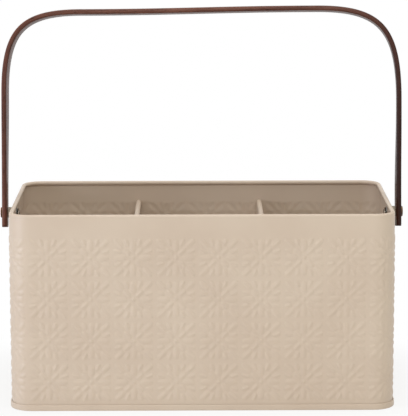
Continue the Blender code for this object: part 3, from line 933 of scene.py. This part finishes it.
def stained_wood():
    """Stained lath under satin varnish: long fibres, dark pores, streaks, and the right leg darkened to
    near black as painted shade.
    """
    material, tree, shader = new_material("stained_lath")
    grain = tree.nodes.new("ShaderNodeAttribute")
    grain.attribute_name = "grain"
    stretched = tree.nodes.new("ShaderNodeMapping")
    stretched.inputs["Scale"].default_value = (GRAIN_STRETCH_SHARE, 1, 1)
    tree.links.new(grain.outputs["Vector"], stretched.inputs["Vector"])
    along = stretched.outputs["Vector"]
    streaks = spread(tree, noise(tree, along, STREAK_SCALE, STREAK_DETAIL), *STREAK_LEVELS, 0, 1)
    fibres = spread(tree, noise(tree, along, FIBRE_SCALE, FIBRE_DETAIL), *FIBRE_LEVELS, 0, 1)
    pores = spread(tree, noise(tree, along, PORE_SCALE, PORE_DETAIL), *PORE_LEVELS, 0, 1)
    reddish = mix_colour(tree, streaks, colour(LEFT_STAIN), colour(LEFT_STAIN_PALE))
    # Near-black brown of the right leg: painted shade.
    painted_shade_brown = mix_colour(tree, streaks, colour(RIGHT_LEG_PAINTED_SHADE), colour(RIGHT_LEG_PAINTED_SHADE_PALE))
    apart = tree.nodes.new("ShaderNodeSeparateXYZ")
    tree.links.new(grain.outputs["Vector"], apart.inputs[0])
    painted_shade_share = spread(tree, apart.outputs["X"], *PAINTED_SHADE_TURN, 0, RIGHT_PAINTED_SHADE_SHARE)
    ground = mix_colour(tree, painted_shade_share, reddish, painted_shade_brown)
    fibre_share = math_node(tree, "MULTIPLY", fibres, FIBRE_SHARE)
    fibred = mix_colour(tree, fibre_share, ground, colour(FIBRE_BROWN))
    tree.links.new(mix_colour(tree, pores, fibred, colour(PORE_BROWN)), shader.inputs["Base Color"])
    tree.links.new(spread(tree, fibres, 0, 1, *WOOD_ROUGHNESS), shader.inputs["Roughness"])
    add_bump(tree, shader, math_node(tree, "SUBTRACT", fibres, pores), GRAIN_DEPTH)
    shader.inputs["Specular IOR Level"].default_value = WOOD_SPECULAR
    shader.inputs["Coat Weight"].default_value = WOOD_COAT
    shader.inputs["Coat Roughness"].default_value = COAT_ROUGHNESS
    return material


def plated_metal_group():
    """Plated metal: a fine uneven surface, and dull spots in the shine, which on the nut are near-black
    spots of painted dark reflection.
    """
    group, given, made = new_group(
        "plated_metal",
        [("Metal", "NodeSocketColor", (1, 1, 1, 1)), ("Dull_and_painted_dark", "NodeSocketColor", (1, 1, 1, 1))],
        [("Colour", "NodeSocketColor"), ("Roughness", "NodeSocketFloat"), ("Height", "NodeSocketFloat")],
    )
    place = object_place(group)
    patches = spread(group, noise(group, place, DULL_SCALE, DULL_DETAIL), *DULL_LEVELS, 0, 1)
    tone = mix_colour(group, patches, given.outputs["Metal"], given.outputs["Dull_and_painted_dark"])
    group.links.new(tone, made.inputs["Colour"])
    group.links.new(spread(group, patches, 0, 1, *METAL_ROUGHNESS), made.inputs["Roughness"])
    group.links.new(noise(group, place, PLATING_SCALE, PLATING_DETAIL), made.inputs["Height"])
    return group


def plated(name, group, metal, dull):
    material, shader = finished(name, group, (metal, dull), PLATING_DEPTH)
    shader.inputs["Metallic"].default_value = 1
    return material


def nut_painted_glint(group):
    """Nickel with painted light: a painted white glint on the nut's inner half, and painted dark reflection
    with near-black spots towards the wall.
    """
    material = plated("bright_nickel", group, NICKEL_PAINTED_DARK_REFLECTION, NICKEL_PAINTED_BLACK_SPOTS)
    tree = material.node_tree
    base = tree.nodes["Principled BSDF"].inputs["Base Color"]
    painted_dark_flats = base.links[0].from_socket
    apart = tree.nodes.new("ShaderNodeSeparateXYZ")
    tree.links.new(object_place(tree), apart.inputs[0])
    from_middle = math_node(tree, "ABSOLUTE", apart.outputs["X"], 0)
    nut_end = BODY_WIDTH / 2 - NUT_SEAT - NUT_THICKNESS
    # The inner half of the nut carries the painted glint; the rest is painted dark reflection.
    painted_glint_to = nut_end + NUT_THICKNESS / 2
    painted_dark_share = spread(tree, from_middle, painted_glint_to, painted_glint_to + NUT_CHAMFER, 0, 1)
    tree.links.new(mix_colour(tree, painted_dark_share, colour(NICKEL_PAINTED_GLINT), painted_dark_flats), base)
    return material


# Studio


def soft_lamp(name, place, target, size, power, tint):
    data = bpy.data.lights.new(name, "AREA")
    data.shape = "SQUARE"
    data.size = size
    data.energy = power
    data.color = tint
    lamp = bpy.data.objects.new(name, data)
    lamp.location = place
    aim = Vector(target) - Vector(place)
    lamp.rotation_euler = aim.to_track_quat("-Z", "Y").to_euler()
    bpy.context.scene.collection.objects.link(lamp)


def seen_rays(tree):
    """1 for camera, mirror and glass rays, and 0 for every other ray."""
    path = tree.nodes.new("ShaderNodeLightPath")
    seen = math_node(tree, "MAXIMUM", path.outputs["Is Camera Ray"], path.outputs["Is Glossy Ray"])
    return math_node(tree, "MAXIMUM", seen, path.outputs["Is Transmission Ray"])


def seen_white(tree, plain, output_socket):
    """White for camera, mirror and glass rays, and the plain shader for every other ray."""
    seen = seen_rays(tree)
    white = tree.nodes.new("ShaderNodeBackground")
    white.inputs["Color"].default_value = (1, 1, 1, 1)
    white.inputs["Strength"].default_value = 1
    choice = tree.nodes.new("ShaderNodeMixShader")
    tree.links.new(seen, choice.inputs[0])
    tree.links.new(plain, choice.inputs[1])
    tree.links.new(white.outputs[0], choice.inputs[2])
    tree.links.new(choice.outputs[0], output_socket)


def floor_white():
    """Pale floor that keeps the caddy's shadow, and fades to the white background away from it."""
    material, tree, shader = new_material("floor_white")
    shader.inputs["Base Color"].default_value = colour(FLOOR_PALE)
    shader.inputs["Roughness"].default_value = 1
    shader.inputs["Specular IOR Level"].default_value = 0
    seen = seen_rays(tree)
    place = object_place(tree)
    for operation, amount in (
        ("ABSOLUTE", None),
        ("SUBTRACT", (BODY_WIDTH / 2, BODY_DEPTH / 2, 0)),
        ("MAXIMUM", (0, 0, 0)),
        ("LENGTH", None),
    ):
        step = tree.nodes.new("ShaderNodeVectorMath")
        step.operation = operation
        tree.links.new(place, step.inputs[0])
        if amount:
            step.inputs[1].default_value = amount
        place = step.outputs["Value" if operation == "LENGTH" else "Vector"]
    away = spread(tree, place, 0, SHADOW_REACH, SHADOW_WHITE, 1)
    white = tree.nodes.new("ShaderNodeEmission")
    choice = tree.nodes.new("ShaderNodeMixShader")
    tree.links.new(math_node(tree, "MULTIPLY", seen, away), choice.inputs[0])
    tree.links.new(shader.outputs[0], choice.inputs[1])
    tree.links.new(white.outputs[0], choice.inputs[2])
    tree.links.new(choice.outputs[0], tree.nodes["Material Output"].inputs["Surface"])
    return material


def studio():
    scene = bpy.context.scene
    scene.view_settings.view_transform = "Standard"
    world = bpy.data.worlds.new("studio")
    scene.world = world
    world.use_nodes = True
    tree = world.node_tree
    ambient = tree.nodes["Background"]
    ambient.inputs["Color"].default_value = (1, 1, 1, 1)
    ambient.inputs["Strength"].default_value = AMBIENT_STRENGTH
    seen_white(tree, ambient.outputs[0], tree.nodes["World Output"].inputs["Surface"])

    bm = bmesh.new()
    bmesh.ops.create_grid(bm, x_segments=1, y_segments=1, size=FLOOR_REACH)
    mesh = bpy.data.meshes.new("studio_floor")
    bm.to_mesh(mesh)
    bm.free()
    floor = bpy.data.objects.new("studio_floor", mesh)
    scene.collection.objects.link(floor)
    mesh.materials.append(floor_white())

    for lamp in LAMPS:
        soft_lamp(*lamp)


def photo_camera():
    data = bpy.data.cameras.new("photo_camera")
    data.lens = CAMERA_LENS
    data.sensor_width = CAMERA_SENSOR
    camera = bpy.data.objects.new("photo_camera", data)
    yaw = Matrix.Rotation(-CAMERA_YAW, 4, "Z")
    pitch = Matrix.Rotation(math.radians(90) - CAMERA_PITCH, 4, "X")
    roll = Matrix.Rotation(CAMERA_ROLL, 4, "Z")
    camera.matrix_world = Matrix.Translation(CAMERA_PLACE) @ yaw @ pitch @ roll
    bpy.context.scene.collection.objects.link(camera)
    bpy.context.scene.camera = camera


def dress_caddy():
    paint_group = sprayed_paint_group()
    metal_group = plated_metal_group()
    taupe = painted("taupe_paint", paint_group, TAUPE, TAUPE_SHADE)
    outer_cell = sunburst_cell(OUTER_CUTS)
    inner_cell = sunburst_cell(INNER_CUTS)
    for name, columns in WALL_STRETCHES:
        pressed_wall(name, columns, outer_cell, inner_cell, taupe)
    closing_lap(taupe)
    base_pan(taupe)
    rolled_divider("left", "divider_left", LEFT_DIVIDER_SHIFT - DIVIDER_SPACING / 2, taupe)
    rolled_divider("right", "divider_right", RIGHT_DIVIDER_SHIFT + DIVIDER_SPACING / 2, taupe)
    bent_handle(stained_wood())
    finishes = {
        # The spacer's paint is the body's taupe darkened as painted shade.
        "spacer": painted("spacer_paint", paint_group, SPACER_TAUPE_IN_PAINTED_SHADE, SPACER_CLOUDS_IN_PAINTED_SHADE),
        "screw": plated("dark_bronze", metal_group, BRONZE, BRONZE_DULL),
        "washer": plated("bright_zinc", metal_group, ZINC, ZINC_DULL),
        "nut": nut_painted_glint(metal_group),
    }
    pivot_set("left", -1, finishes)
    pivot_set("right", 1, finishes)


dress_caddy()
studio()
photo_camera()
